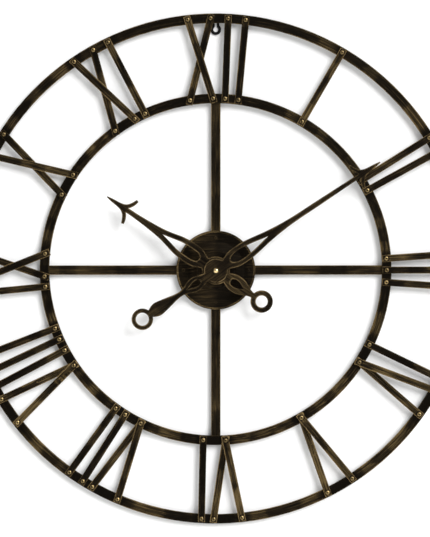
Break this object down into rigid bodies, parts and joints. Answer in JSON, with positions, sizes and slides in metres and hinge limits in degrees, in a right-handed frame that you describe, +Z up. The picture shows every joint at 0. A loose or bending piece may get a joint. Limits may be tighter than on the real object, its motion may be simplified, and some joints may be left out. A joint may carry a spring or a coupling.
{
  "type": "wall clock",
  "caption": "Large open iron wall clock with riveted roman numerals between two rings, four spokes, a round boss, pierced hands and a keyhole hanger.",
  "frame": {"origin": "centre of the keyhole's round hole, in the wall plane (the back of the hanger plate); the hands' axis is 0.585 m below it", "axes": "+Z up, +X to the right as seen from the front, -Y out of the wall towards the viewer"},
  "size_m": [1.2454, 0.049, 1.2456],
  "materials": {
    "aged_iron": "satin",
    "hand_metal": "satin",
    "rivet_brass": "satin",
    "hanger_black": "satin",
    "rubber": "matte",
    "bush_aluminium": "satin",
    "turned_brass": "polished",
    "bright_steel": "satin",
    "case_black": "matte",
    "knob_grey": "matte",
    "gear_white": "satin",
    "rotor_magnet": "satin",
    "motor_steel": "satin",
    "coil_copper": "satin",
    "board_green": "satin",
    "chip_black": "satin",
    "cell_sleeve": "gloss"
  },
  "bodies": {
    "clock_frame": {"outer_ring": "aged_iron", "inner_ring": "aged_iron", "spoke_top": "aged_iron", "spoke_right": "aged_iron", "spoke_bottom": "aged_iron", "spoke_left": "aged_iron", "numeral_01": "aged_iron", "numeral_02": "aged_iron", "numeral_03": "aged_iron", "numeral_04": "aged_iron", "numeral_05": "aged_iron", "numeral_06": "aged_iron", "numeral_07": "aged_iron", "numeral_08": "aged_iron", "numeral_09": "aged_iron", "numeral_10": "aged_iron", "numeral_11": "aged_iron", "numeral_12": "aged_iron", "outer_rivets": "rivet_brass", "inner_rivets": "rivet_brass", "boss_cover": "aged_iron", "boss_rivets": "aged_iron", "keyhole_hanger": "hanger_black", "wall_bumpers": "rubber", "gasket": "rubber", "fixing_washer": "bright_steel", "fixing_nut": "turned_brass", "movement_case_front": "case_black", "movement_case_rear": "case_black", "bridge_plate": "gear_white", "stator": "motor_steel", "coil_core": "motor_steel", "coil_bobbin": "gear_white", "coil": "coil_copper", "circuit_board": "board_green", "control_chip": "chip_black", "quartz_crystal": "bright_steel", "contact_minus": "bright_steel", "contact_plus": "bright_steel"},
    "minute_hand_group": {"minute_hand": "hand_metal", "minute_hand_bush": "bush_aluminium", "cap_nut": "rivet_brass", "minute_arbor": "turned_brass", "friction_spring": "bright_steel"},
    "hour_hand_group": {"hour_hand": "hand_metal", "hour_hand_bush": "bush_aluminium", "hour_wheel": "gear_white"},
    "minute_wheel_group": {"minute_wheel": "gear_white"},
    "setting_knob_group": {"setting_knob": "knob_grey"},
    "seconds_wheel_group": {"seconds_wheel": "gear_white"},
    "rotor_group": {"rotor": "rotor_magnet"},
    "fifth_wheel_group": {"fifth_wheel": "gear_white"},
    "third_wheel_group": {"third_wheel": "gear_white"},
    "centre_wheel_group": {"centre_wheel": "turned_brass"},
    "battery_group": {"battery_cell": "cell_sleeve"}
  },
  "joints": [
    {"name": "minute_hand_turn", "type": "hinge", "parent": "clock_frame", "child": "minute_hand_group", "pos_m": [0, -0.03, -0.585], "axis": [0, 1, 0], "continuous": true},
    {"name": "hour_hand_turn", "type": "hinge", "parent": "clock_frame", "child": "hour_hand_group", "pos_m": [0, -0.03, -0.585], "axis": [0, 1, 0], "continuous": true},
    {"name": "minute_wheel_turn", "type": "hinge", "parent": "clock_frame", "child": "minute_wheel_group", "pos_m": [0.006, -0.024, -0.57461], "axis": [0, 1, 0], "continuous": true},
    {"name": "setting_knob_turn", "type": "hinge", "parent": "clock_frame", "child": "setting_knob_group", "pos_m": [0.01824, -0.015, -0.58031], "axis": [0, 1, 0], "continuous": true},
    {"name": "seconds_wheel_turn", "type": "hinge", "parent": "clock_frame", "child": "seconds_wheel_group", "pos_m": [0, -0.016, -0.585], "axis": [0, 1, 0], "continuous": true},
    {"name": "rotor_turn", "type": "hinge", "parent": "clock_frame", "child": "rotor_group", "pos_m": [0.01653, -0.014, -0.57078], "axis": [0, 1, 0], "continuous": true},
    {"name": "fifth_wheel_turn", "type": "hinge", "parent": "clock_frame", "child": "fifth_wheel_group", "pos_m": [0.006, -0.014, -0.57461], "axis": [0, 1, 0], "continuous": true},
    {"name": "third_wheel_turn", "type": "hinge", "parent": "clock_frame", "child": "third_wheel_group", "pos_m": [-0.0106, -0.018, -0.57888], "axis": [0, 1, 0], "continuous": true},
    {"name": "centre_wheel_turn", "type": "hinge", "parent": "clock_frame", "child": "centre_wheel_group", "pos_m": [0, -0.0205, -0.585], "axis": [0, 1, 0], "continuous": true},
    {"name": "battery_slide", "type": "slide", "parent": "clock_frame", "child": "battery_group", "axis": [0, 1, 0], "range_m": [0, 0.02]}
  ],
  "couplings": [
    {"joint": "hour_hand_turn", "follows": "minute_hand_turn", "ratio": 0.083333},
    {"joint": "minute_wheel_turn", "follows": "minute_hand_turn", "ratio": -0.33333},
    {"joint": "setting_knob_turn", "follows": "minute_hand_turn", "ratio": 0.66667},
    {"joint": "rotor_turn", "follows": "seconds_wheel_turn", "ratio": 30},
    {"joint": "fifth_wheel_turn", "follows": "seconds_wheel_turn", "ratio": -5},
    {"joint": "third_wheel_turn", "follows": "seconds_wheel_turn", "ratio": -0.13333},
    {"joint": "centre_wheel_turn", "follows": "seconds_wheel_turn", "ratio": 0.016667}
  ]
}
